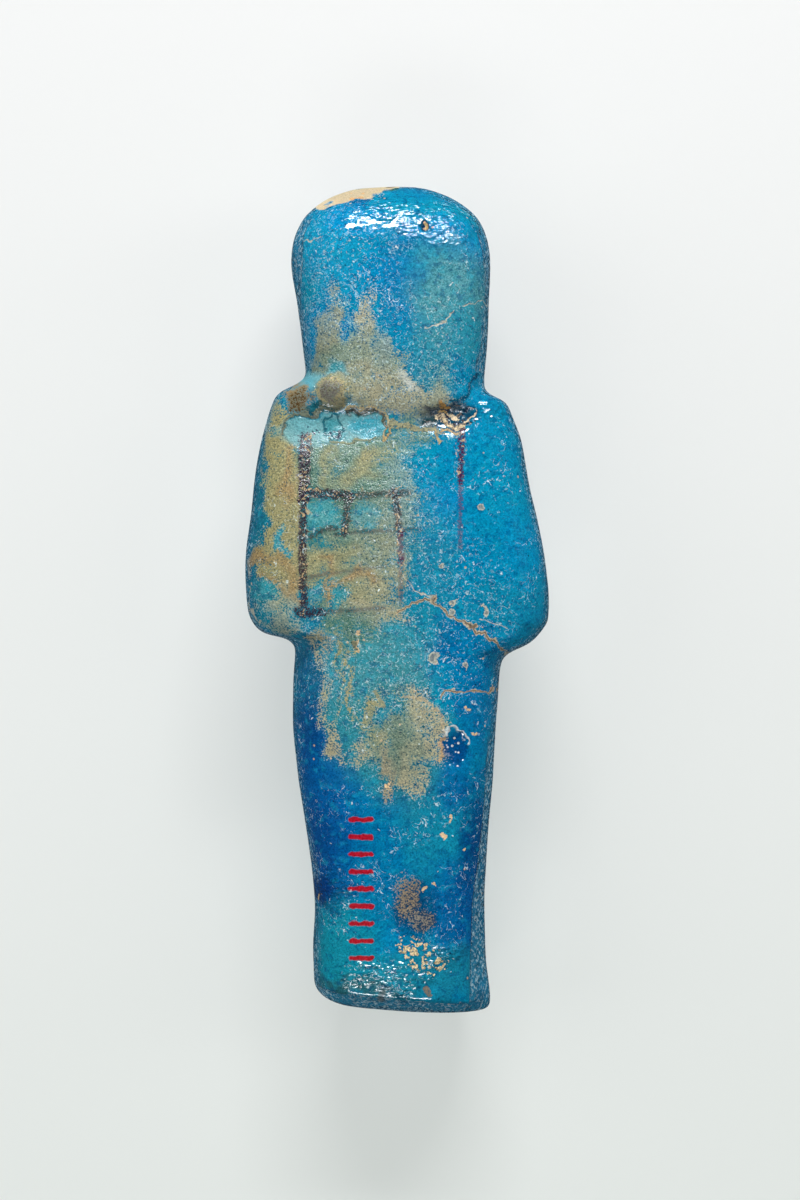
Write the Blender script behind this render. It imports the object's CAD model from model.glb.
import math
import bpy
import bmesh
import numpy as np
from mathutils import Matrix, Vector, noise


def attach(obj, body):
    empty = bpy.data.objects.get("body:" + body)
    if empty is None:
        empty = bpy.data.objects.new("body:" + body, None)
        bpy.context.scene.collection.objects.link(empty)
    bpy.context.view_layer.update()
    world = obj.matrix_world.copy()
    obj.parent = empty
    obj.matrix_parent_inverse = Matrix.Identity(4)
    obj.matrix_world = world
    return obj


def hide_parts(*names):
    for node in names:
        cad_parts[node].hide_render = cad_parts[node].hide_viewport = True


# A blue faience ushabti that lies on its face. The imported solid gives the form; this script adds
# the finer relief of the glaze, its wear and the painted lines, and lights and frames it.

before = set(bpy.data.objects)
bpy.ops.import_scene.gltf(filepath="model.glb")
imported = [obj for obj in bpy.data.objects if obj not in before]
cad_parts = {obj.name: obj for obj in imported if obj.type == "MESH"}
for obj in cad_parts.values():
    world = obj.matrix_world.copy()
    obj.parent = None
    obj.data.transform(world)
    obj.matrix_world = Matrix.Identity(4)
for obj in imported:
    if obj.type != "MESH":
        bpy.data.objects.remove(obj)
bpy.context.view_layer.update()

MM = 0.001
noise.seed_set(2)  # the clouds of the paintwork are the same in every run

# The photograph's own frame: the figure's middle in it, and its scale from the figure's length.
PHOTO_MIDDLE = (397, 598)
PHOTO_SIZE = (800, 1200)
MM_PER_PIXEL = 0.1335
LOOSEST = 16  # pixels by which a loose outline may wander
BACK_FROM, BACK_FULL = 7, 11  # heights in millimetres between which the back's marks fade in


def spot(across, down):
    """A place in the photograph, in its pixels, as millimetres on the figure's back."""
    return ((across - PHOTO_MIDDLE[0]) * MM_PER_PIXEL, (PHOTO_MIDDLE[1] - down) * MM_PER_PIXEL)


def smooth(values, low, high):
    """0 below low, 1 above high and smooth between them; low may be the larger one."""
    share = np.clip((values - low) / (high - low), 0, 1)
    return share * share * (3 - 2 * share)


def beyond_edge(places, edge, outwards):
    """How far places in millimetres lie outwards of an edge, in the photograph's pixels."""
    edge_across, edge_down = np.array(edge).T
    across = PHOTO_MIDDLE[0] + places[:, 0] / MM_PER_PIXEL
    down = PHOTO_MIDDLE[1] - places[:, 1] / MM_PER_PIXEL
    if outwards == "foot":
        return down - np.interp(across, edge_across, edge_down)
    away = across - np.interp(down, edge_down, edge_across)
    passes = (down > edge_down[0]) & (down < edge_down[-1])
    return np.where(passes, away if outwards == "right" else -away, 0)


def tint(red, green, blue):
    """A colour given as it shows on a screen, 0 to 255, for a shader's socket."""
    def linear(value):
        value /= 255
        return value / 12.92 if value <= 0.04045 else ((value + 0.055) / 1.055) ** 2.4
    return (linear(red), linear(green), linear(blue), 1)


CERULEAN = tint(2, 136, 176)
TURQUOISE = tint(10, 152, 172)
BRIGHT_BLUE = tint(0, 136, 192)
COBALT = tint(0, 92, 158)
DEEP_BLUE = tint(0, 58, 122)
NIGHT_BLUE = tint(8, 32, 64)
SEA_GREEN = tint(78, 148, 154)
PALE_TURQUOISE = tint(92, 168, 180)
OCHRE = tint(150, 141, 86)
OLIVE_TAN = tint(76, 114, 92)
SAND = tint(162, 154, 116)
CREAM = tint(224, 204, 168)
CHALK = tint(214, 220, 216)
EARTH = tint(96, 74, 52)
DUST = tint(210, 224, 226)
MANGANESE = tint(46, 36, 50)
PLUM = tint(80, 42, 74)
CRIMSON = tint(178, 4, 22)


# Node groups of the glaze.


def add(tree, kind, **settings):
    node = tree.nodes.new(kind)
    for name, value in settings.items():
        setattr(node, name, value)
    return node


def feed(tree, socket, value):
    """Links a socket to another one, or sets its value."""
    if isinstance(value, bpy.types.NodeSocket):
        tree.links.new(value, socket)
    else:
        socket.default_value = value


def number(tree, operation, *values):
    node = add(tree, "ShaderNodeMath", operation=operation)
    for socket, value in zip(node.inputs, values):
        feed(tree, socket, value)
    return node.outputs[0]


def vector(tree, operation, *values):
    node = add(tree, "ShaderNodeVectorMath", operation=operation)
    for socket, value in zip(node.inputs, values):
        feed(tree, socket, value)
    return node.outputs["Value" if operation in ("LENGTH", "DOT_PRODUCT") else "Vector"]


def step(tree, value, low, high):
    """0 below low, 1 above high and smooth between them; low may be the larger one."""
    node = add(tree, "ShaderNodeMapRange", interpolation_type="SMOOTHSTEP")
    for name, given in (("Value", value), ("From Min", low), ("From Max", high)):
        feed(tree, node.inputs[name], given)
    return node.outputs["Result"]


def scaled(tree, value, amount):
    node = add(tree, "ShaderNodeVectorMath", operation="SCALE")
    feed(tree, node.inputs["Vector"], value)
    feed(tree, node.inputs["Scale"], amount)
    return node.outputs["Vector"]


def split(tree, kind, value):
    """The parts of a place, kind XYZ, or of a colour, kind Color."""
    node = add(tree, "ShaderNodeSeparate" + kind)
    feed(tree, node.inputs[0], value)
    return node.outputs


def cloudy(tree, place, scale, detail):
    node = add(tree, "ShaderNodeTexNoise")
    for name, given in (("Vector", place), ("Scale", scale), ("Detail", detail)):
        feed(tree, node.inputs[name], given)
    return node


def mix(tree, share, old, new, kind="FLOAT"):
    """From an old value to a new one, or a colour with kind RGBA, as far as the share says."""
    node = add(tree, "ShaderNodeMix", data_type=kind)
    mark = {"FLOAT": "Float", "RGBA": "Color"}[kind]
    ways_in = [socket for socket in node.inputs if socket.identifier.endswith(mark)]
    feed(tree, node.inputs["Factor"], share)
    feed(tree, ways_in[-2], old)
    feed(tree, ways_in[-1], new)
    return [socket for socket in node.outputs if socket.identifier.endswith(mark)][0]


def new_group(name, inputs, outputs):
    tree = bpy.data.node_groups.new(name, "ShaderNodeTree")
    for label, kind in inputs:
        tree.interface.new_socket(label, in_out="INPUT", socket_type="NodeSocket" + kind)
    for label, kind in outputs:
        tree.interface.new_socket(label, in_out="OUTPUT", socket_type="NodeSocket" + kind)
    ways_in = add(tree, "NodeGroupInput").outputs
    ways_out = add(tree, "NodeGroupOutput").inputs
    return tree, ways_in, ways_out


def patch_group():
    """A soft-edged ellipse on the back. Across and Along are its axes, each divided by its half size."""
    tree, given, out = new_group(
        "glaze patch",
        [("Place", "Vector"), ("Middle", "Vector"), ("Across", "Vector"), ("Along", "Vector"),
         ("Outer", "Float"), ("Inner", "Float")],
        [("Mask", "Float")])
    near = vector(tree, "SUBTRACT", given["Place"], given["Middle"])
    x = vector(tree, "DOT_PRODUCT", near, given["Across"])
    y = vector(tree, "DOT_PRODUCT", near, given["Along"])
    share = number(tree, "MULTIPLY_ADD", x, x, number(tree, "MULTIPLY", y, y))
    feed(tree, out["Mask"], step(tree, share, given["Outer"], given["Inner"]))
    return tree


def stroke_group():
    """A straight stroke between two places on the back."""
    tree, given, out = new_group(
        "brush stroke",
        [("Place", "Vector"), ("Start", "Vector"), ("End", "Vector"), ("Half Width", "Float"),
         ("Softness", "Float")],
        [("Mask", "Float")])
    near = vector(tree, "MULTIPLY", vector(tree, "SUBTRACT", given["Place"], given["Start"]), (1, 1, 0))
    along = vector(tree, "SUBTRACT", given["End"], given["Start"])
    share = number(tree, "DIVIDE", vector(tree, "DOT_PRODUCT", near, along),
                   vector(tree, "DOT_PRODUCT", along, along))
    kept = add(tree, "ShaderNodeClamp")
    feed(tree, kept.inputs["Value"], share)
    reach = scaled(tree, along, kept.outputs["Result"])
    away = vector(tree, "LENGTH", vector(tree, "SUBTRACT", near, reach))
    edge = number(tree, "ADD", given["Half Width"], given["Softness"])
    full = number(tree, "SUBTRACT", given["Half Width"], given["Softness"])
    feed(tree, out["Mask"], step(tree, away, edge, full))
    return tree


def speck_group():
    """Scattered round specks: their spacing and size in millimetres, and how many of them show."""
    tree, given, out = new_group(
        "specks",
        [("Place", "Vector"), ("Spacing", "Float"), ("Size", "Float"), ("Share", "Float")],
        [("Mask", "Float")])
    cells = add(tree, "ShaderNodeTexVoronoi")
    feed(tree, cells.inputs["Vector"], given["Place"])
    feed(tree, cells.inputs["Scale"], number(tree, "DIVIDE", 1, given["Spacing"]))
    size = number(tree, "DIVIDE", given["Size"], given["Spacing"])
    round_speck = step(tree, cells.outputs["Distance"], size, number(tree, "MULTIPLY", size, 0.6))
    drawn = split(tree, "Color", cells.outputs["Color"])["Red"]
    shows = number(tree, "LESS_THAN", drawn, given["Share"])
    feed(tree, out["Mask"], number(tree, "MULTIPLY", round_speck, shows))
    return tree


def mottle_group():
    """Cloudy mottling: the size of its clouds in millimetres, and where it starts and is full."""
    tree, given, out = new_group(
        "mottling",
        [("Place", "Vector"), ("Size", "Float"), ("Start", "Float"), ("Full", "Float")],
        [("Mask", "Float")])
    clouds = cloudy(tree, given["Place"], number(tree, "DIVIDE", 1, given["Size"]), 2)
    feed(tree, out["Mask"], step(tree, clouds.outputs["Fac"], given["Start"], given["Full"]))
    return tree


def hairline_group():
    """Short curling hairlines: the lines along which a cloudy pattern crosses its middle value."""
    tree, given, out = new_group(
        "curling hairlines",
        [("Place", "Vector"), ("Size", "Float"), ("Thinness", "Float"), ("Share", "Float")],
        [("Mask", "Float")])
    clouds = cloudy(tree, given["Place"], number(tree, "DIVIDE", 1, given["Size"]), 1)
    away = number(tree, "ABSOLUTE", number(tree, "SUBTRACT", clouds.outputs["Fac"], 0.5))
    line = step(tree, away, given["Thinness"], 0)
    drawn = split(tree, "Color", clouds.outputs["Color"])["Green"]
    low = number(tree, "SUBTRACT", 0.62, given["Share"])
    shows = step(tree, drawn, low, number(tree, "ADD", low, 0.04))
    feed(tree, out["Mask"], number(tree, "MULTIPLY", line, shows))
    return tree


PATCH = patch_group()
STROKE = stroke_group()
SPECKS = speck_group()
MOTTLE = mottle_group()
HAIRLINES = hairline_group()


class Paintwork:
    """The broad soft areas of the glaze, painted on the skin's vertices.

    The ground is a plain colour. The stain lies over it as grain, as thick as its cover says.
    """

    def __init__(self, mesh):
        self.mesh = mesh
        self.place = np.array([vertex.co for vertex in mesh.vertices]) / MM
        self.steepness = np.array([1 - abs(vertex.normal.z) for vertex in mesh.vertices])
        upwards = np.array([vertex.normal.z for vertex in mesh.vertices])
        self.on_back = smooth(self.place[:, 2], BACK_FROM, BACK_FULL) * smooth(upwards, -0.3, 0.1)
        self.loose = self.place + 1.5 * self.clouds(2.4) + 0.5 * self.clouds(0.8)
        self.uneven = 0.95 + 0.7 * self.clouds(1.7)[:, 1]
        self.waves = np.zeros(len(self.place))
        self.ground = np.tile(CERULEAN[:3], (len(self.place), 1))
        self.stain = self.ground.copy()
        self.cover = np.zeros(len(self.place))
        broad = self.clouds(8)
        self.wash(smooth(broad[:, 0], 0.05, 0.5), BRIGHT_BLUE, 0.6)
        self.wash(smooth(broad[:, 1], 0.05, 0.45), TURQUOISE, 0.6)
        self.wash(smooth(self.clouds(3.5)[:, 2], 0.1, 0.6), COBALT, 0.3)

    def clouds(self, size):
        """Three cloudy patterns, each about -0.5 to 0.5, as columns."""
        return np.array([noise.noise_vector(Vector(place) / size) for place in self.place])

    def patch(self, middle, half, turn=0, softness=0.5):
        """A soft-edged ellipse, in the photograph's pixels, turned in degrees anticlockwise."""
        turned = math.radians(turn)
        x, y = (self.loose[:, :2] - spot(*middle)).T / MM_PER_PIXEL
        along = (x * math.cos(turned) + y * math.sin(turned)) / half[0]
        across = (y * math.cos(turned) - x * math.sin(turned)) / half[1]
        return smooth(along ** 2 + across ** 2, (1 + softness) ** 2, (1 - softness) ** 2) * self.on_back

    def line(self, places, half_width, softness=0.5):
        """A chain of soft strokes through places, half_width in pixels, softness as a share of it."""
        mask = np.zeros(len(self.place))
        half = half_width * MM_PER_PIXEL
        for start, end in zip(places, places[1:]):
            start, end = np.array(spot(*start)), np.array(spot(*end))
            near = self.loose[:, :2] - start
            share = np.clip(near @ (end - start) / ((end - start) @ (end - start)), 0, 1)
            away = np.linalg.norm(near - share[:, None] * (end - start), axis=1)
            mask = np.maximum(mask, smooth(away, half * (1 + softness), half * (1 - softness)))
        return mask * self.on_back

    def wash(self, mask, colour, strength=1.0):
        """Colours the ground."""
        share = (mask * strength)[:, None]
        self.ground = self.ground * (1 - share) + np.array(colour[:3]) * share

    def stain_with(self, mask, colour, strength=1.0):
        """Lays a stain over those before it."""
        added = np.clip(mask * strength * self.uneven, 0, 1)
        total = 1 - (1 - self.cover) * (1 - added)
        kept = (self.cover * (1 - added))[:, None] * self.stain + added[:, None] * np.array(colour[:3])
        shows = total > 0
        self.stain[shows] = kept[shows] / total[shows, None]
        self.cover = total

    def clear(self, mask, colour, strength=1.0):
        """Opens a window in the stains and colours the ground there."""
        self.wash(mask, colour, strength)
        self.cover = self.cover * (1 - mask * strength)

    def side_band(self, edge, outwards):
        """Counts what lies outwards of an edge as steep side. The edge is a list of places."""
        wandered = self.place + 0.3 * (self.loose - self.place)
        beyond = beyond_edge(wandered, edge, outwards)
        self.steepness = np.maximum(self.steepness, smooth(beyond, 0, 2.5))

    def finish(self):
        """Leaves the paintwork on the mesh, where the materials read it."""
        for name, values in (("steepness", self.steepness), ("stain cover", self.cover),
                             ("waves", self.waves)):
            layer = self.mesh.attributes.new(name, "FLOAT", "POINT")
            layer.data.foreach_set("value", values)
        for name, colours in (("ground", self.ground), ("stain", self.stain)):
            layer = self.mesh.attributes.new(name, "FLOAT_COLOR", "POINT")
            layer.data.foreach_set("color", np.hstack([colours, np.ones((len(colours), 1))]).ravel())


def regions_of_the_back(skin):
    """The broad areas of the back: where the glaze is deep, thin, green or worn."""
    for middle, half, turn, colour, strength in (
        # wig
        ((349, 208), (17, 8), 10, COBALT, 0.9),
        ((334, 250), (30, 46), 0, tint(20, 146, 188), 0.8),
        ((356, 229), (24, 14), 6, BRIGHT_BLUE, 0.8),
        ((425, 238), (22, 14), 0, BRIGHT_BLUE, 0.75),
        ((467, 258), (22, 15), -40, BRIGHT_BLUE, 0.7),
        ((402, 280), (15, 44), 0, tint(20, 120, 172), 0.7),
        ((452, 308), (34, 50), 8, SEA_GREEN, 0.85),
        ((466, 350), (18, 36), 10, tint(14, 140, 166), 0.7),
        ((436, 366), (26, 30), 0, tint(52, 138, 158), 0.7),
        ((470, 388), (12, 26), 30, CERULEAN, 0.8),
        # torso
        ((505, 500), (44, 110), 0, CERULEAN, 0.8),
        ((432, 506), (22, 16), 0, BRIGHT_BLUE, 0.8),
        ((425, 560), (26, 60), 0, tint(34, 136, 164), 0.7),
        ((520, 560), (20, 40), 0, BRIGHT_BLUE, 0.35),
        ((505, 610), (34, 26), 0, tint(18, 128, 158), 0.6),
        ((400, 622), (60, 22), 0, tint(24, 138, 164), 0.7),
        ((448, 636), (14, 24), 0, COBALT, 0.55),
        # legs
        ((372, 668), (48, 44), 0, tint(70, 144, 150), 0.85),
        ((350, 738), (44, 36), 0, tint(54, 138, 146), 0.85),
        ((474, 690), (22, 60), 0, tint(0, 112, 166), 0.8),
        ((309, 772), (15, 84), 3, COBALT, 0.95),
        ((306, 680), (12, 46), 0, tint(24, 96, 132), 0.85),
        ((312, 760), (11, 52), 3, DEEP_BLUE, 0.6),
        ((328, 822), (32, 62), 0, COBALT, 0.95),
        ((322, 846), (22, 36), 0, DEEP_BLUE, 0.55),
        ((395, 850), (40, 60), 0, tint(0, 108, 160), 0.7),
        ((432, 815), (28, 50), 0, tint(20, 136, 162), 0.75),
        ((452, 782), (14, 22), 0, COBALT, 0.7),
        ((474, 870), (14, 78), 0, DEEP_BLUE, 0.85),
        ((452, 905), (20, 40), 0, COBALT, 0.8),
        ((330, 893), (22, 16), 20, DEEP_BLUE, 0.85),
        ((340, 945), (34, 40), 0, tint(16, 136, 156), 0.9),
        ((430, 965), (50, 22), 0, tint(22, 128, 152), 0.85),
        ((352, 982), (44, 9), -5, tint(44, 92, 98), 0.75),
    ):
        skin.wash(skin.patch(middle, half, turn, 0.6), colour, strength)


def washes_of_the_back(skin):
    """Ochre and olive stains, which thin out into grain at their edges."""
    for middle, half, colour in (
        ((345, 520), (56, 100), tint(56, 142, 148)),
        ((284, 520), (24, 100), tint(60, 138, 136)),
        ((402, 738), (34, 56), tint(52, 128, 140)),
        ((258, 520), (10, 100), tint(16, 104, 128)),
    ):
        skin.wash(skin.patch(middle, half, 0, 0.5), colour, 0.8)
    for middle, half, turn, colour, strength in (
        ((345, 475), (48, 44), 0, OLIVE_TAN, 0.9),
        ((372, 520), (46, 40), 0, OLIVE_TAN, 0.75),
        ((352, 575), (46, 44), 0, OLIVE_TAN, 0.8),
        ((395, 436), (44, 16), 0, OLIVE_TAN, 0.75),
        ((284, 474), (15, 56), 6, OCHRE, 1.1),
        ((286, 542), (17, 66), -2, OCHRE, 1.1),
        ((276, 560), (18, 26), 0, OCHRE, 0.6),
        ((365, 470), (26, 9), 36, OCHRE, 0.7),
        ((330, 562), (26, 14), 30, OCHRE, 0.8),
        ((330, 470), (5, 28), 0, OCHRE, 0.6),
        ((362, 590), (26, 14), 28, OCHRE, 0.7),
        ((375, 612), (30, 9), -10, SAND, 0.7),
        ((402, 500), (13, 56), 0, tint(130, 160, 160), 0.3),
        ((378, 560), (22, 44), 0, SAND, 0.4),
        ((280, 608), (26, 22), 0, tint(130, 150, 140), 0.55),
        ((350, 628), (30, 16), 0, OLIVE_TAN, 0.6),
    ):
        skin.stain_with(skin.patch(middle, half, turn, 0.6), colour, strength)
    for middle, half, turn, colour in (
        ((326, 516), (15, 14), 0, tint(78, 156, 158)),
        ((368, 517), (14, 13), 0, tint(92, 146, 142)),
        ((283, 543), (6, 12), 0, tint(70, 160, 176)),
        ((270, 590), (14, 10), 10, tint(60, 150, 160)),
        ((336, 592), (6, 13), 20, tint(60, 146, 156)),
        ((318, 590), (8, 8), 0, tint(70, 150, 160)),
    ):
        skin.clear(skin.patch(middle, half, turn, 0.5), colour, 0.75)
    loops = (
        (((250, 566), (262, 557), (278, 556), (292, 572), (300, 602)), 5),
        (((268, 578), (282, 584), (290, 600)), 3),
        (((334, 596), (338, 586), (352, 578), (364, 570), (376, 580)), 3),
        (((330, 560), (328, 590)), 3),
        (((304, 442), (290, 452), (290, 500)), 4),
    )
    for places, half_width in loops:
        skin.stain_with(skin.line(places, half_width, 0.8), tint(152, 122, 62), 0.9)
    # legs
    streaks = (
        (((319, 636), (326, 700), (334, 752)), 7, SAND, 0.8),
        (((338, 636), (341, 680), (343, 712)), 3, OCHRE, 0.6),
        (((316, 700), (322, 738)), 3, SAND, 0.5),
        (((350, 650), (352, 690), (354, 716)), 3.5, OCHRE, 0.8),
        (((364, 690), (368, 720)), 3, OCHRE, 0.5),
    )
    for places, half_width, colour, strength in streaks:
        skin.stain_with(skin.line(places, half_width, 0.9), colour, strength)
    for middle, half, turn, colour, strength in (
        ((396, 732), (30, 42), 12, tint(104, 128, 106), 0.8),
        ((402, 746), (14, 26), 20, tint(84, 106, 80), 0.6),
        ((428, 724), (14, 36), 20, SAND, 0.7),
        ((412, 774), (13, 24), 5, SAND, 0.7),
        ((386, 766), (6, 30), 12, tint(150, 134, 98), 0.65),
        ((372, 722), (8, 20), 10, OCHRE, 0.5),
        ((352, 754), (20, 10), 0, SAND, 0.5),
    ):
        skin.stain_with(skin.patch(middle, half, turn, 0.45), colour, strength)
    skin.clear(skin.patch((387, 708), (9, 11), 0, 0.5), tint(40, 136, 158), 0.7)


def crust_of_the_wig(skin):
    """The worn lower part of the wig: tan and chalky crust, the knob and the rusty corner."""
    for middle, half, turn, colour, strength in (
        ((345, 360), (34, 40), -14, tint(84, 142, 146), 0.5),
        ((365, 343), (8, 42), -4, SAND, 0.8),
        ((331, 350), (11, 42), -6, tint(136, 134, 98), 0.85),
        ((346, 372), (18, 16), 0, OLIVE_TAN, 0.8),
        ((372, 372), (28, 26), -22, tint(124, 138, 108), 0.85),
        ((388, 396), (44, 18), -20, SAND, 0.75),
        ((424, 408), (32, 11), 0, tint(150, 150, 118), 0.75),
        ((402, 384), (4, 9), 30, CHALK, 0.4),
        ((411, 393), (3, 7), 40, CHALK, 0.4),
        ((386, 345), (7, 20), -10, tint(108, 138, 142), 0.45),
        ((382, 383), (5, 3), -30, tint(184, 150, 82), 0.8),
        ((440, 380), (16, 16), 0, tint(104, 140, 128), 0.5),
        ((320, 300), (14, 34), 0, tint(110, 146, 156), 0.25),
        ((405, 252), (18, 10), 0, tint(84, 140, 164), 0.35),
    ):
        skin.stain_with(skin.patch(middle, half, turn, 0.7), colour, strength)


# Edges where the back breaks off to a rough side, down the photograph or across it.
BROKEN_EDGES = (
    (((314, 222), (306, 240), (303, 300), (305, 340), (312, 372)), "left"),
    (((474, 232), (480, 255), (484, 300), (482, 330), (477, 357), (473, 374)), "right"),
    (((486, 740), (482, 800), (477, 850), (470, 900), (467, 1010)), "right"),
    (((318, 905), (319, 950), (322, 1000)), "left"),
    (((300, 974), (325, 985), (400, 991), (500, 996)), "foot"),
)


def paint_the_skin(mesh):
    skin = Paintwork(mesh)
    for edge, outwards in BROKEN_EDGES:
        skin.side_band(edge, outwards)
    for middle, half in (((378, 214), (42, 10)), ((438, 228), (32, 22)), ((500, 408), (16, 12)),
                         ((385, 968), (45, 14)), ((446, 946), (14, 8)), ((332, 878), (14, 22))):
        skin.waves = np.maximum(skin.waves, skin.patch(middle, half, 0, 0.4))
    regions_of_the_back(skin)
    washes_of_the_back(skin)
    crust_of_the_wig(skin)
    skin.finish()


GLOSSY, DULL = 0.1, 0.7  # roughness of the glaze and of what is worn or chalky
GLAZE_IOR = 1.5


class Glaze:
    """Builds the glaze's colour, roughness and height layer by layer, for one stretch of the figure.

    A layer that doesn't reach the stretch, from top to bottom in the photograph, is left out of it.
    """

    def __init__(self, name, top, bottom):
        self.top = top
        self.bottom = bottom
        self.material = bpy.data.materials.new(name)
        self.material.use_nodes = True
        self.tree = self.material.node_tree
        self.shader = self.tree.nodes["Principled BSDF"]
        self.exact = scaled(self.tree, add(self.tree, "ShaderNodeTexCoord").outputs["Object"], 1 / MM)
        small_clouds = self.clouds(0.75)
        self.loose = self.moved(self.moved(self.exact, self.clouds(2.4), 2.6), small_clouds, 0.9)
        self.steady = self.moved(self.exact, small_clouds, 0.5)
        self.grain = self.fine_grain()
        grainy = number(self.tree, "MULTIPLY_ADD", self.grain, 0.2, self.read("steepness", "Fac"))
        self.side = step(self.tree, grainy, 0.5, 0.95)
        self.colour = self.read("ground", "Color")
        self.height = 0.0
        self.limit = None

    def keep_to_the_back(self):
        """Layers that follow stay off the lower half of the thickness."""
        self.limit = step(self.tree, split(self.tree, "XYZ", self.exact)["Z"], BACK_FROM, BACK_FULL)

    def read(self, name, output):
        """What the paintwork left on the skin under this name."""
        return add(self.tree, "ShaderNodeAttribute", attribute_name=name).outputs[output]

    def clouds(self, size):
        """Three cloudy patterns around 0, as a vector."""
        pattern = cloudy(self.tree, self.exact, 1 / size, 1)
        return vector(self.tree, "SUBTRACT", pattern.outputs["Color"], (0.5, 0.5, 0.5))

    def moved(self, place, clouds, amount):
        """The place, moved about by clouds so that what reads it gets a loose outline."""
        return vector(self.tree, "ADD", place, scaled(self.tree, clouds, amount))

    def fine_grain(self):
        """Sharp grain about a quarter of a millimetre across, around 0."""
        pattern = cloudy(self.tree, self.exact, 4.2, 2)
        pattern.inputs["Roughness"].default_value = 0.7
        return number(self.tree, "MULTIPLY_ADD", pattern.outputs["Fac"], 2.2, -1.1)

    def stipple(self, mask, thickness=0.8):
        """Breaks a soft mask up into grain, thick where the mask is full and thin at its edge."""
        if mask is None:
            return None
        grains = step(self.tree, number(self.tree, "MULTIPLY_ADD", mask, thickness, self.grain), 0.36, 0.56)
        return self.both(grains, step(self.tree, mask, 0.03, 0.3))

    def use(self, group, **values):
        node = add(self.tree, "ShaderNodeGroup", node_tree=group)
        for name, value in values.items():
            feed(self.tree, node.inputs[name.replace("_", " ")], value)
        return node.outputs["Mask"]

    def misses(self, downs, reach):
        """True if a layer between these places down the photograph stays off this stretch."""
        reach += LOOSEST
        return max(downs) + reach < self.top or min(downs) - reach > self.bottom

    def patch(self, middle, half, turn=0, softness=0.3, place=None):
        """A soft-edged ellipse, in the photograph's pixels, turned in degrees anticlockwise."""
        if self.misses([middle[1]], max(half) * (1 + softness)):
            return None
        turned = math.radians(turn)
        across = Vector((math.cos(turned), math.sin(turned), 0)) / (half[0] * MM_PER_PIXEL)
        along = Vector((-math.sin(turned), math.cos(turned), 0)) / (half[1] * MM_PER_PIXEL)
        return self.use(PATCH, Place=place or self.loose, Middle=(*spot(*middle), 0), Across=across,
                        Along=along, Outer=(1 + softness) ** 2, Inner=(1 - softness) ** 2)

    def line(self, places, half_width, softness=0.25, place=None):
        """A chain of strokes through places, half_width in pixels, softness as a share of it."""
        mask = None
        half = half_width * MM_PER_PIXEL
        for start, end in zip(places, places[1:]):
            if self.misses([start[1], end[1]], half_width * (1 + softness)):
                continue
            part = self.use(STROKE, Place=place or self.loose, Start=(*spot(*start), 0),
                            End=(*spot(*end), 0), Half_Width=half, Softness=half * softness)
            mask = part if mask is None else number(self.tree, "MAXIMUM", mask, part)
        return mask

    def both(self, first, second):
        if first is None or second is None:
            return None
        return number(self.tree, "MULTIPLY", first, second)

    def either(self, *masks):
        result = None
        for mask in masks:
            if mask is not None:
                result = mask if result is None else number(self.tree, "MAXIMUM", result, mask)
        return result

    def paint(self, mask, colour=None, strength=1.0, raise_by=None):
        """Lays a finish over the last one where the mask is: its colour and its height."""
        if mask is None:
            return
        if self.limit is not None:
            mask = self.both(mask, self.limit)
        if strength != 1:
            mask = number(self.tree, "MULTIPLY", mask, strength)
        if colour is not None:
            self.colour = mix(self.tree, mask, self.colour, colour, "RGBA")
        if raise_by is not None:
            self.height = number(self.tree, "MULTIPLY_ADD", mask, raise_by, self.height)

    def dab(self, middle, half, turn, softness, colour, strength, grain=None, raise_by=None):
        """A patch of paint. Where grain is given, it is broken up into grain of that thickness."""
        mask = self.patch(middle, half, turn, softness)
        if grain is not None:
            mask = self.stipple(mask, grain)
        self.paint(mask, colour, strength, raise_by)

    def finish(self):
        """Feeds the shader. The paler the paint is, the duller it is."""
        shader = self.shader
        feed(self.tree, shader.inputs["Base Color"], self.colour)
        parts = split(self.tree, "Color", self.colour)
        paler = number(self.tree, "MINIMUM", parts["Red"], parts["Green"])
        worn = step(self.tree, paler, 0.02, 0.14)
        feed(self.tree, shader.inputs["Roughness"], mix(self.tree, worn, GLOSSY, DULL))
        shader.inputs["IOR"].default_value = GLAZE_IOR
        bump = add(self.tree, "ShaderNodeBump")
        bump.inputs["Distance"].default_value = MM
        bump.inputs["Strength"].default_value = 1
        feed(self.tree, bump.inputs["Height"], self.height)
        feed(self.tree, shader.inputs["Normal"], bump.outputs["Normal"])
        return self.material


def body_of_the_glaze(g):
    """The glaze itself: fine clouds over the painted ground, the stains in grain, a rippled surface."""
    g.paint(g.use(MOTTLE, Place=g.exact, Size=1.1, Start=0.52, Full=0.72), tint(26, 168, 196), 0.35)
    g.paint(g.use(MOTTLE, Place=g.exact, Size=0.8, Start=0.48, Full=0.34), DEEP_BLUE, 0.4)
    stretched = vector(g.tree, "MULTIPLY", g.exact, (0.55, 1, 0.7))
    cover = g.read("stain cover", "Fac")
    for scale, strength in ((0.75, 0.2), (1.8, number(g.tree, "MULTIPLY", g.read("waves", "Fac"), 0.46))):
        ripple = cloudy(g.tree, stretched, scale, 1.5)
        g.height = number(g.tree, "MULTIPLY_ADD", ripple.outputs["Fac"], strength, g.height)
    g.height = number(g.tree, "MULTIPLY_ADD", g.grain, number(g.tree, "MULTIPLY", cover, 0.05), g.height)
    g.paint(g.stipple(cover), g.read("stain", "Color"), 0.92)
    g.paint(g.both(cover, step(g.tree, g.grain, 0.2, 0.34)), tint(190, 184, 150), 0.3)
    g.paint(g.both(cover, step(g.tree, g.grain, -0.16, -0.34)), tint(36, 66, 70), 0.6)


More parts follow.
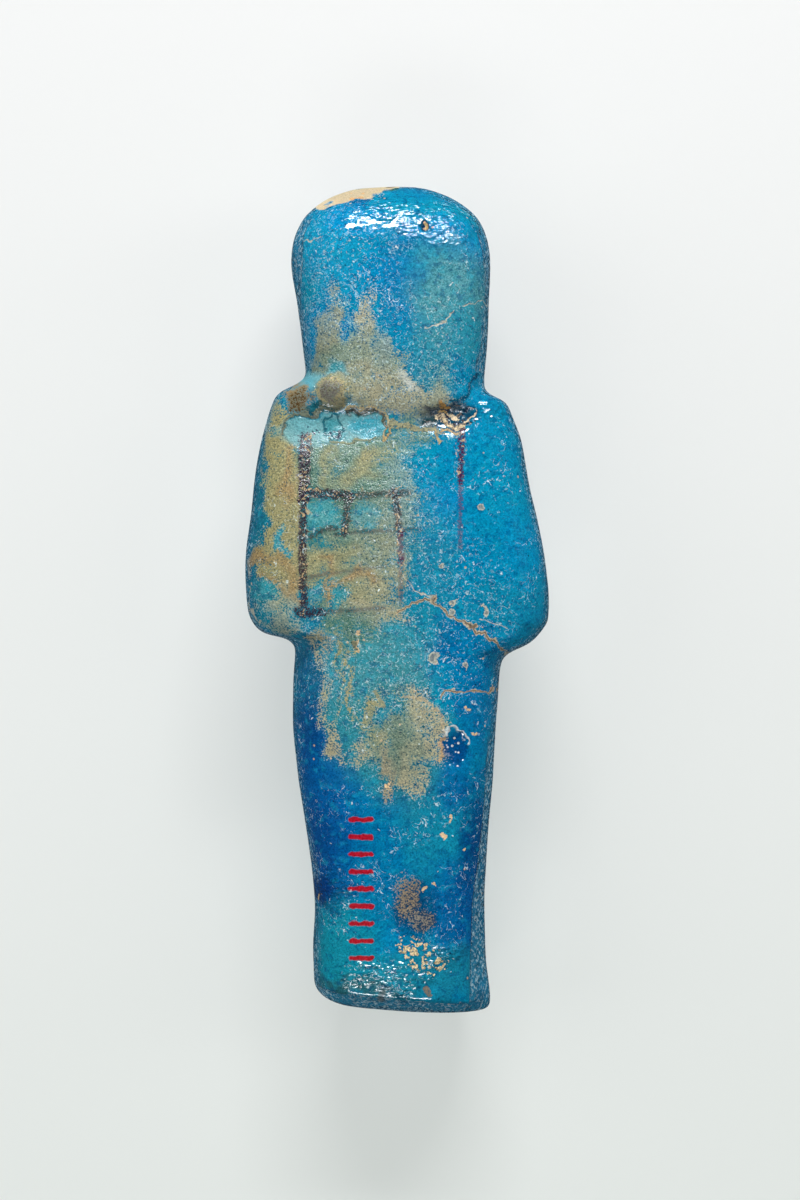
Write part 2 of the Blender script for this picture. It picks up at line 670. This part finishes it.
def rough_sides(g):
    """The steep sides, where the glaze stayed thin: dark teal with pale grains, pocked and rough."""
    g.paint(g.side, tint(48, 126, 162), 0.75)
    pocks = g.both(g.side, g.use(MOTTLE, Place=g.exact, Size=1.3, Start=0.5, Full=0.38))
    g.paint(pocks, tint(16, 84, 118), 0.6)
    grains = g.both(g.side, g.use(MOTTLE, Place=g.exact, Size=0.45, Start=0.53, Full=0.63))
    thick = g.use(MOTTLE, Place=g.exact, Size=4, Start=0.3, Full=0.5)
    g.paint(g.both(grains, thick), tint(176, 206, 214), 0.62)
    g.height = number(g.tree, "MULTIPLY_ADD", pocks, -0.06, g.height)


def ledge_under_the_wig(g):
    """Between the wig and the shoulder: the pale ledge, the knob, the rusty corner and the shadow."""
    g.dab((309, 384), (12, 9), 20, 0.5, PALE_TURQUOISE, 0.85)
    g.dab((339, 372), (10, 6), 0, 0.5, TURQUOISE, 0.7)
    g.dab((332, 397), (18, 17), 0, 0.25, tint(132, 132, 84), 0.8)
    g.dab((331, 398), (17, 16), 0, 0.3, tint(166, 150, 100), 0.8, 0.6)
    g.dab((330, 396), (11, 11), 0, 0.4, tint(124, 130, 126), 0.7, 0.6)
    g.dab((331, 396), (11, 11), 0, 0.4, tint(72, 66, 62), 0.8, 0.45)
    crumbs = g.use(SPECKS, Place=g.loose, Spacing=0.36, Size=0.2, Share=0.4)
    g.paint(g.both(g.patch((331, 397), (17, 16), 0, 0.3), crumbs), tint(66, 60, 48), 0.7)
    g.dab((322, 412), (18, 3), 8, 0.5, tint(30, 66, 60), 0.7)
    g.dab((300, 402), (10, 13), 20, 0.4, tint(120, 110, 56), 0.75)
    g.dab((299, 401), (12, 14), 20, 0.5, tint(150, 118, 56), 0.85, 0.55)
    g.dab((300, 404), (10, 12), 0, 0.4, tint(60, 44, 28), 0.9, 0.5)
    shadow = ((478, 378), (469, 394), (455, 408), (432, 414), (424, 412))
    g.paint(g.line(shadow, 2.2, 0.9), NIGHT_BLUE, 0.7, raise_by=-0.1)


def basin_under_the_wig(g):
    """The pool of thin glaze below the wig with its raised rim and the two loops in it."""
    pool = tint(92, 158, 164)
    g.paint(g.patch((310, 433), (27, 14), 6, 0.35), pool, 0.9)
    g.paint(g.patch((356, 430), (27, 13), 0, 0.2), pool, 0.95)
    g.dab((366, 430), (14, 9), 0, 0.5, tint(50, 154, 176), 0.8)
    g.dab((336, 434), (8, 9), 0, 0.4, tint(60, 146, 158), 0.8)
    g.dab((388, 429), (4, 8), 8, 0.3, TURQUOISE, 0.8)
    shade_line = ((284, 437), (289, 425), (306, 419), (330, 416))
    g.paint(g.line(shade_line, 2.2, 0.9), tint(24, 84, 100), 0.7, raise_by=-0.15)
    g.paint(g.line(((350, 416), (362, 415), (376, 419)), 2.2, 0.9), tint(20, 60, 60), 0.8, raise_by=-0.1)
    rim = (
        (((284, 440), (286, 428), (294, 420), (310, 416), (328, 416)), 1.6, tint(110, 116, 90)),
        (((330, 418), (338, 420), (343, 427), (340, 436), (332, 438), (327, 431), (330, 422)), 1.1,
         tint(22, 92, 108)),
        (((348, 415), (356, 412), (370, 412), (381, 419), (385, 428)), 2.2, tint(70, 62, 38)),
        (((348, 411), (360, 408), (374, 409), (385, 418), (389, 426)), 1.4, tint(190, 166, 112)),
        (((385, 428), (382, 437), (386, 445), (392, 438), (391, 428)), 1.3, tint(176, 142, 78)),
        (((392, 427), (404, 431), (424, 432), (440, 436)), 2.4, tint(142, 136, 92)),
        (((334, 442), (344, 446), (362, 444), (376, 440)), 1.4, tint(120, 122, 84)),
    )
    for places, half_width, colour in rim:
        g.paint(g.stipple(g.line(places, half_width * 1.2, 0.7)), colour, 0.85, raise_by=0.12)
    for place in ((313, 437), (318, 433), (337, 435), (322, 436)):
        g.paint(g.patch(place, (1.7, 1.5), 0, 0.3), NIGHT_BLUE, 0.9)
    # the chip at the right
    g.dab((448, 420), (27, 11), 4, 0.35, tint(14, 58, 84), 0.85, raise_by=-0.2)
    g.dab((430, 424), (8, 5), 10, 0.4, tint(8, 52, 58), 0.9)
    chip = (
        (((437, 421), (446, 425)), 2.6, CREAM),
        (((446, 426), (456, 430), (464, 428)), 2.8, tint(214, 190, 146)),
        (((439, 414), (447, 417)), 2.2, tint(204, 168, 96)),
        (((450, 417), (460, 420)), 2.2, CREAM),
        (((464, 427), (471, 422), (473, 415)), 1.1, CREAM),
        (((440, 408), (447, 410)), 1.6, tint(186, 140, 66)),
        (((444, 433), (456, 436), (462, 434)), 1.3, tint(180, 150, 96)),
        (((436, 436), (441, 446)), 2.0, tint(170, 148, 92)),
    )
    for places, half_width, colour in chip:
        g.paint(g.stipple(g.line(places, half_width * 1.2, 0.7), 0.8), colour, 0.95, raise_by=0.15)
    specks = g.use(SPECKS, Place=g.loose, Spacing=0.5, Size=0.22, Share=0.5)
    g.paint(g.both(g.patch((450, 422), (24, 14), 0, 0.3), specks), tint(70, 50, 48), 0.8, raise_by=-0.1)
    for places in (((446, 419), (452, 424)), ((456, 424), (468, 428)), ((463, 413), (470, 410))):
        g.paint(g.line(places, 1.2, 0.6), NIGHT_BLUE, 0.85, raise_by=-0.1)


def drawn_lines(g):
    """The lines drawn in manganese black before firing. They broke up into grain."""
    lines = (
        (((307, 441), (306, 500)), 6.6, 0.4, MANGANESE, 1),
        (((306, 498), (304, 560), (306, 604), (305, 614)), 4.8, 0.6, MANGANESE, 0.95),
        (((308, 495), (350, 498)), 5.6, 0.6, MANGANESE, 0.9),
        (((345, 498), (408, 495)), 4.4, 0.8, MANGANESE, 0.7),
        (((350, 497), (348, 516), (345, 535)), 4.4, 0.7, MANGANESE, 0.8),
        (((395, 494), (398, 518), (400, 534)), 4.8, 0.8, MANGANESE, 0.85),
        (((400, 530), (401, 562)), 3.6, 0.8, PLUM, 0.8),
        (((401, 560), (401, 600)), 2.6, 0.9, PLUM, 0.5),
        (((312, 538), (326, 531), (338, 529)), 3.2, 0.9, MANGANESE, 0.7),
        (((336, 536), (380, 532), (420, 530)), 2.2, 0.9, MANGANESE, 0.6),
        (((312, 578), (330, 573)), 2.6, 0.9, MANGANESE, 0.6),
        (((330, 574), (386, 567)), 1.8, 0.9, MANGANESE, 0.45),
        (((300, 611), (324, 612)), 5.0, 0.6, MANGANESE, 0.95),
        (((320, 612), (384, 608)), 2.6, 0.9, MANGANESE, 0.6),
        (((461, 434), (459, 484)), 3.4, 0.6, tint(66, 36, 70), 1),
        (((459, 484), (459, 548)), 2.6, 0.9, PLUM, 0.7),
    )
    for places, half_width, softness, colour, strength in lines:
        g.paint(g.stipple(g.line(places, half_width, softness, g.steady), 0.6), colour, strength)
    near_lines = g.either(
        g.line(((307, 442), (305, 612)), 5, 0.5), g.line(((310, 495), (408, 496)), 5, 0.5),
        g.line(((396, 494), (401, 596)), 4, 0.5), g.line(((348, 497), (344, 536)), 4, 0.5),
        g.line(((461, 434), (459, 484)), 4, 0.5))
    specks = g.use(SPECKS, Place=g.loose, Spacing=0.4, Size=0.2, Share=0.42)
    g.paint(g.both(near_lines, specks), tint(190, 160, 112), 0.85)


def cracks_of_the_back(g):
    """Hairline cracks, with pale or rusty lips."""
    main = ((398, 613), (418, 600), (433, 598), (455, 618), (478, 632), (496, 640), (503, 652))
    hip = ((440, 695), (446, 690), (464, 691), (488, 690), (495, 686))
    fine = (
        ((403, 577), (414, 588), (425, 592), (434, 599)),
        ((478, 620), (490, 621), (502, 626)),
        ((425, 331), (442, 330), (450, 314)),
        ((461, 312), (474, 309), (487, 305)),
        ((250, 586), (254, 612), (262, 622)),
        ((306, 247), (316, 243), (324, 244)),
    )
    for places, lip, colour in ((main, 1.4, tint(186, 164, 120)), (hip, 1.3, tint(190, 162, 114))):
        g.paint(g.stipple(g.line(places, lip * 1.3, 0.6)), colour, 0.8)
        g.paint(g.line(places, 0.6, 0.5), EARTH, 0.8, raise_by=-0.12)
    for places in fine:
        g.paint(g.line(places, 0.7, 0.6), tint(196, 184, 154), 0.7, raise_by=-0.05)


def marks_of_the_back(g):
    """Single marks: chips, pits, rings, crusts and the row of plain red strokes."""
    # crown
    chip = g.line(((322, 203), (336, 198), (352, 196), (372, 190), (392, 185)), 9, 0.15)
    if chip is not None:
        chip = g.both(chip, step(g.tree, split(g.tree, "XYZ", g.loose)["Z"], 15.4, 16.4))
    g.paint(chip, tint(226, 206, 166), 1.0, raise_by=-0.1)
    g.paint(g.stipple(chip, 0.3), tint(160, 134, 94), 0.75, raise_by=0.06)
    g.dab((362, 193), (34, 9), 12, 0.6, tint(196, 178, 142), 0.8, 0.8)
    g.paint(g.line(((350, 200), (354, 204), (362, 200)), 1.8, 0.5), tint(214, 160, 96), 0.8)
    g.paint(g.line(((390, 187), (394, 186)), 1.6, 0.5), EARTH, 0.8)
    g.dab((396, 195), (4, 3), 0, 0.5, tint(60, 110, 90), 0.7)
    # wig pit
    g.dab((424, 236), (4.5, 4.5), 0, 0.35, NIGHT_BLUE, 0.9, raise_by=-0.3)
    g.dab((425, 236), (2.6, 2.8), 0, 0.4, tint(190, 160, 96), 0.9)
    # leg hollow with its rim
    g.dab((453, 746), (11, 15), 0, 0.5, tint(0, 62, 122), 0.85, raise_by=-0.3)
    dots = g.use(SPECKS, Place=g.exact, Spacing=0.5, Size=0.2, Share=0.5)
    g.paint(g.both(g.patch((451, 744), (11, 12), 0, 0.3), dots), CHALK, 0.85)
    g.paint(g.stipple(g.line(((439, 760), (439, 742), (444, 732)), 2.4, 0.7)), tint(190, 156, 110), 0.85)
    g.paint(g.line(((444, 729), (454, 725), (464, 730), (467, 740)), 1.0, 0.5), CHALK, 0.8, raise_by=0.08)
    g.paint(g.stipple(g.line(((404, 694), (424, 697), (440, 712), (444, 735)), 1.6, 0.8, place=g.steady)),
            tint(176, 152, 112), 0.5)
    g.paint(g.stipple(g.line(((370, 700), (384, 704), (376, 690)), 2, 0.6, place=g.steady)), OCHRE, 0.7)
    # lower crusts
    g.dab((414, 902), (18, 24), 0, 0.6, tint(0, 62, 108), 0.8)
    g.dab((408, 894), (11, 18), 0, 0.6, tint(70, 72, 74), 0.8, 0.7)
    g.dab((420, 912), (11, 10), -20, 0.6, tint(56, 66, 84), 0.8, 0.7)
    g.dab((406, 890), (11, 20), 0, 0.7, tint(134, 118, 88), 0.85, 0.46)
    g.dab((418, 912), (12, 10), -20, 0.7, tint(128, 120, 100), 0.8, 0.44)
    clods = g.use(SPECKS, Place=g.loose, Spacing=0.62, Size=0.42, Share=0.85)
    crust = g.patch((422, 949), (26, 15), -38, 0.3)
    g.paint(g.stipple(g.both(crust, clods)), tint(188, 166, 116), 0.95, raise_by=0.14)
    g.paint(g.stipple(g.both(crust, clods), 0.5), tint(232, 214, 172), 0.7)
    g.dab((428, 984), (4, 5), 0, 0.6, tint(122, 92, 50), 0.8, 0.8)
    g.dab((382, 992), (5, 6), 0, 0.6, tint(90, 80, 60), 0.6)
    g.dab((324, 886), (12, 11), 0, 0.4, DEEP_BLUE, 0.8, raise_by=-0.1)
    g.dab((322, 894), (2.4, 2), 0, 0.4, EARTH, 0.8)
    # rings of burst bubbles
    for place, size in (((453, 609), 3.6), ((482, 611), 3), ((434, 655), 4.2), ((462, 660), 2.6),
                        ((453, 600), 2), ((444, 566), 2.2), ((479, 510), 2.4)):
        ring = g.patch(place, (size, size * 1.2), 0, 0.3)
        g.paint(g.stipple(ring), tint(186, 180, 150), 0.75, raise_by=0.05)
        g.paint(g.patch(place, (size * 0.5, size * 0.6), 0, 0.3), tint(90, 110, 120), 0.8)
    for place, size in (((450, 811), 2), ((448, 815), 1.6), ((441, 830), 2.6), ((465, 845), 1.6),
                        ((434, 878), 2.2), ((425, 885), 2.4), ((388, 782), 2.6), ((322, 895), 1.8),
                        ((357, 645), 3), ((358, 632), 2.4), ((466, 707), 1.6), ((475, 733), 1.6)):
        g.paint(g.stipple(g.patch(place, (size, size), 0, 0.6)), tint(216, 184, 136), 0.95)
    g.dab((356, 646), (3, 2.4), 0, 0.4, tint(70, 84, 60), 0.9)


def red_strokes(g):
    """A row of plain red strokes down the left leg, all alike and without any meaning."""
    for down in range(815, 952, 17):
        g.paint(g.line(((352, down), (372, down)), 2.4, 0.3, g.steady), CRIMSON, 0.95)


def dust_of_the_back(g):
    """White and tan specks and hairlines, thick in some places and thin in others."""
    busy = g.use(MOTTLE, Place=g.exact, Size=6, Start=0.44, Full=0.6)
    speckled = g.either(
        g.patch((405, 550), (26, 80), 0, 0.8), g.patch((440, 600), (50, 50), 0, 0.8),
        g.patch((350, 290), (40, 70), 0, 0.6), g.patch((395, 360), (70, 50), 0, 0.6),
        g.patch((400, 660), (60, 40), 0, 0.8), number(g.tree, "MULTIPLY", busy, 0.22))
    fine = g.use(SPECKS, Place=g.loose, Spacing=0.34, Size=0.12, Share=0.22)
    g.paint(g.both(speckled, fine), tint(176, 196, 198), 0.8)
    larger = g.use(SPECKS, Place=g.loose, Spacing=1.4, Size=0.15, Share=0.3)
    g.paint(larger, DUST, 0.85)
    tan = g.use(SPECKS, Place=g.exact, Spacing=2.2, Size=0.2, Share=0.3)
    g.paint(tan, tint(200, 172, 130), 0.85)
    dark = g.use(SPECKS, Place=g.exact, Spacing=1.7, Size=0.17, Share=0.3)
    g.paint(dark, NIGHT_BLUE, 0.7)
    hairs = g.use(HAIRLINES, Place=g.loose, Size=1.0, Thinness=0.018, Share=0.1)
    g.paint(g.both(hairs, busy), tint(206, 228, 232), 0.85)
    short = g.use(HAIRLINES, Place=g.steady, Size=0.6, Thinness=0.03, Share=0.13)
    g.paint(g.both(short, speckled), tint(170, 200, 206), 0.6)


def grain_of_the_glaze(g):
    """Lightens and darkens the whole glaze in fine grain."""
    g.colour = scaled(g.tree, g.colour, number(g.tree, "MULTIPLY_ADD", g.grain, 0.9, 0.98))


def back_glaze(name, top, bottom):
    g = Glaze(name, top, bottom)
    body_of_the_glaze(g)
    rough_sides(g)
    g.keep_to_the_back()
    ledge_under_the_wig(g)
    basin_under_the_wig(g)
    drawn_lines(g)
    dust_of_the_back(g)
    cracks_of_the_back(g)
    marks_of_the_back(g)
    red_strokes(g)
    grain_of_the_glaze(g)
    return g.finish()


def drawn_lines_of_the_front(g):
    """Brows, eyes, headband and two hoes in manganese black, alike on both sides, in millimetres."""
    parts = split(g.tree, "XYZ", g.steady)
    mirrored = add(g.tree, "ShaderNodeCombineXYZ")
    feed(g.tree, mirrored.inputs["X"], number(g.tree, "ABSOLUTE", parts["X"]))
    feed(g.tree, mirrored.inputs["Y"], parts["Y"])
    lines = (
        (((1.3, 44.4), (3.2, 45.0), (5.8, 44.2)), 0.3),
        (((1.2, 42.2), (2.2, 43.3), (3.7, 43.4), (5.0, 42.6), (6.4, 42.4)), 0.22),
        (((1.2, 42.2), (2.6, 41.5), (4.0, 41.6), (5.0, 42.5)), 0.16),
        (((3.0, 42.5), (3.2, 42.5)), 0.55),
        (((0, 51.0), (4.5, 50.5), (8.8, 48.2)), 0.35),
        (((5.6, 16), (7.4, 21), (9.4, 26)), 0.35),
        (((9.4, 26), (11.2, 26), (12.6, 24.8), (13.2, 22.6)), 0.5),
    )
    for places, half in lines:
        for start, end in zip(places, places[1:]):
            mask = g.use(STROKE, Place=mirrored.outputs[0], Start=(*start, 0), End=(*end, 0),
                         Half_Width=half, Softness=half * 0.5)
            g.paint(g.stipple(mask, 0.9), MANGANESE, 0.9)


def wear_of_the_front(g):
    """A little of the same stain and dust as on the back."""
    stain = g.use(MOTTLE, Place=g.exact, Size=7, Start=0.54, Full=0.72)
    g.paint(g.stipple(stain, 0.55), OLIVE_TAN, 0.8)
    g.paint(g.use(SPECKS, Place=g.loose, Spacing=1.4, Size=0.15, Share=0.3), DUST, 0.8)
    g.paint(g.use(SPECKS, Place=g.exact, Spacing=1.7, Size=0.17, Share=0.3), NIGHT_BLUE, 0.7)


def front_glaze():
    g = Glaze("front glaze", 0, 0)
    body_of_the_glaze(g)
    rough_sides(g)
    wear_of_the_front(g)
    drawn_lines_of_the_front(g)
    grain_of_the_glaze(g)
    return g.finish()


# What is lower than this, in millimetres, or faces down more than this, has the front's glaze.
FRONT_BELOW = 8.5
FRONT_FACING = -0.15

# The back is glazed in stretches, each to this place down the photograph.
STRETCHES = (
    ("wig glaze", 345), ("neck glaze", 424), ("shoulder glaze", 500), ("waist glaze", 590),
    ("hip glaze", 680), ("thigh glaze", 780), ("shin glaze", 880), ("foot glaze", 1200),
)


def glaze(figure):
    """Gives each stretch of the back its glaze, and the front one of its own."""
    top = 0
    for name, bottom in STRETCHES:
        figure.data.materials.append(back_glaze(name, top, bottom))
        top = bottom
    figure.data.materials.append(front_glaze())
    ends = [spot(0, bottom)[1] * MM for _, bottom in STRETCHES]
    for face in figure.data.polygons:
        if face.center.z < FRONT_BELOW * MM or face.normal.z < FRONT_FACING:
            face.material_index = len(STRETCHES)
        else:
            face.material_index = sum(face.center.y < end for end in ends)


# The figure.

SKIN_LEVELS = 2
FOOT_FROM = -50  # millimetres along the figure, below which the sole's slant sets in
SOLE_SLANT = 0.055


def finer_copy(node, name):
    """The solid's own skin, merged, in quads, and smoothed by subdivision."""
    shape = bmesh.new()
    shape.from_mesh(node.data)
    bmesh.ops.remove_doubles(shape, verts=shape.verts, dist=0.001 * MM)
    bmesh.ops.join_triangles(shape, faces=shape.faces, angle_face_threshold=math.pi,
                             angle_shape_threshold=math.pi)
    mesh = bpy.data.meshes.new(name)
    shape.to_mesh(mesh)
    shape.free()
    copy = bpy.data.objects.new(name, mesh)
    bpy.context.scene.collection.objects.link(copy)
    skin = copy.modifiers.new("smooth skin", "SUBSURF")
    skin.levels = skin.render_levels = SKIN_LEVELS
    finished = bpy.data.meshes.new_from_object(copy.evaluated_get(bpy.context.evaluated_depsgraph_get()))
    copy.modifiers.clear()
    copy.data = finished
    finished.materials.clear()
    finished.shade_smooth()
    return copy


def ellipse(places, middle, half):
    """1 at the middle of an ellipse on the back and 0 outside it, in the photograph's pixels."""
    away = (places[:, :2] - spot(*middle)) / (np.array(half) * MM_PER_PIXEL)
    return np.maximum(0, 1 - (away ** 2).sum(axis=1))


def uneven(places, size):
    """Soft unevenness around 0, as lumps and hollows of this size in millimetres."""
    return np.array([noise.noise(Vector(place) / size) for place in places])


def back_height(places):
    """How far the back's finer relief stands out, in millimetres."""
    height = 0.10 * uneven(places, 7) + 0.035 * uneven(places, 2.2)
    for rise, middle, half, rim in (
        (-0.1, (310, 433), (29, 15), 0.8),  # basin, left and right
        (-0.1, (353, 431), (33, 16), 0.8),
        (0.28, (331, 397), (21, 19), 0.5),  # knob
        (-0.3, (446, 422), (28, 14), 0.6),  # chip at the wig's lower corner
        (-0.5, (424, 236), (6, 6), 1),  # pit in the wig
        (-0.3, (454, 744), (14, 17), 1),  # hollow on the leg
    ):
        height += rise * smooth(ellipse(places, middle, half), 0, rim)
    height += 0.12 * ellipse(places, (404, 740), (40, 50))
    for edge, outwards in BROKEN_EDGES:
        beyond = beyond_edge(places, edge, outwards) * MM_PER_PIXEL
        height -= 0.45 * smooth(beyond, 0, 0.7) + 0.3 * smooth(beyond, 0, 3)
    return height


def carve(figure):
    """Moves the skin's vertices in and out for the finer relief, and slants the sole."""
    mesh = figure.data
    places = np.array([vertex.co for vertex in mesh.vertices]) / MM
    normals = np.array([vertex.normal for vertex in mesh.vertices])
    up = smooth(normals[:, 2], 0, 0.6)
    shift = up * back_height(places) + 0.10 * uneven(places, 5) * (1 - up)
    places += normals * shift[:, None]
    foot = smooth(places[:, 1], FOOT_FROM, FOOT_FROM - 4)
    places[:, 1] -= SOLE_SLANT * foot * (places[:, 0] - spot(400, 0)[0])
    places[:, 2] = np.maximum(places[:, 2], 0)
    mesh.vertices.foreach_set("co", (places * MM).ravel())
    mesh.update()


figure = finer_copy(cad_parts["figure"], "faience_figure")
paint_the_skin(figure.data)
carve(figure)
glaze(figure)
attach(figure, "root")
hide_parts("figure")


# The pale floor, the lights and the camera.


FLOOR_HALF = 1.5  # metres
RIM_HEIGHT = 15  # millimetres up to the outline that the camera's distance is taken from
LENS, SENSOR = 100, 36


def pale_floor():
    """A pale paper floor that glows a little, more so towards the head."""
    shape = bmesh.new()
    bmesh.ops.create_grid(shape, x_segments=1, y_segments=1, size=FLOOR_HALF)
    mesh = bpy.data.meshes.new("pale_floor")
    shape.to_mesh(mesh)
    shape.free()
    floor = bpy.data.objects.new("pale_floor", mesh)
    bpy.context.scene.collection.objects.link(floor)
    material = bpy.data.materials.new("pale paper")
    material.use_nodes = True
    tree = material.node_tree
    shader = tree.nodes["Principled BSDF"]
    shader.inputs["Base Color"].default_value = tint(158, 159, 158)
    shader.inputs["Roughness"].default_value = 0.9
    shader.inputs["Specular IOR Level"].default_value = 0.1
    place = split(tree, "XYZ", add(tree, "ShaderNodeTexCoord").outputs["Object"])
    fall = add(tree, "ShaderNodeMapRange")
    for name, given in (("Value", place["Y"]), ("From Min", -80 * MM), ("From Max", 80 * MM)):
        feed(tree, fall.inputs[name], given)
    glow = mix(tree, fall.outputs["Result"], tint(178, 184, 180), tint(189, 190, 190), "RGBA")
    feed(tree, shader.inputs["Emission Color"], glow)
    shader.inputs["Emission Strength"].default_value = 1
    mesh.materials.append(material)
    floor.visible_glossy = False


def softbox(name, place, width, length, power, use, aim=(0, 0, 0.015)):
    """An area light that either lights the figure softly or is mirrored in its glaze."""
    data = bpy.data.lights.new(name, "AREA")
    data.shape = "RECTANGLE"
    data.size = width
    data.size_y = length
    data.energy = power
    light = bpy.data.objects.new(name, data)
    light.location = place
    light.visible_glossy = use == "mirrored"
    light.visible_diffuse = use == "soft"
    light.rotation_euler = (Vector(aim) - Vector(place)).to_track_quat("-Z", "Y").to_euler()
    bpy.context.scene.collection.objects.link(light)


def camera_above():
    """Looks straight down, with the photograph's frame at the height of the figure's outline."""
    data = bpy.data.cameras.new("camera")
    data.lens = LENS
    data.sensor_width = SENSOR
    camera = bpy.data.objects.new("camera", data)
    x, y = spot(PHOTO_SIZE[0] / 2, PHOTO_SIZE[1] / 2)
    away = PHOTO_SIZE[1] * MM_PER_PIXEL * LENS / SENSOR
    camera.location = Vector((x, y, RIM_HEIGHT + away)) * MM
    bpy.context.scene.collection.objects.link(camera)
    bpy.context.scene.camera = camera


pale_floor()
softbox("head light", (0.04, 0.46, 0.386), 0.36, 0.1, 3.6, "soft")
softbox("foot light", (-0.1, -0.5, 0.55), 0.4, 0.12, 1.1, "soft")
softbox("left light", (-0.6, 0.1, 0.45), 0.5, 0.5, 1.85, "soft")
softbox("right light", (0.6, 0.1, 0.45), 0.2, 0.4, 1.0, "soft")
softbox("head glints", (0.06, 0.46, 0.386), 0.5, 0.09, 10, "mirrored")
softbox("foot glints", (-0.06, -0.46, 0.4), 0.3, 0.06, 2.0, "mirrored")

world = bpy.data.worlds.new("studio")
world.use_nodes = True
world.node_tree.nodes["Background"].inputs["Color"].default_value = (0.9, 0.95, 1, 1)
world.node_tree.nodes["Background"].inputs["Strength"].default_value = 0.03
bpy.context.scene.world = world
bpy.context.scene.view_settings.view_transform = "Standard"
camera_above()
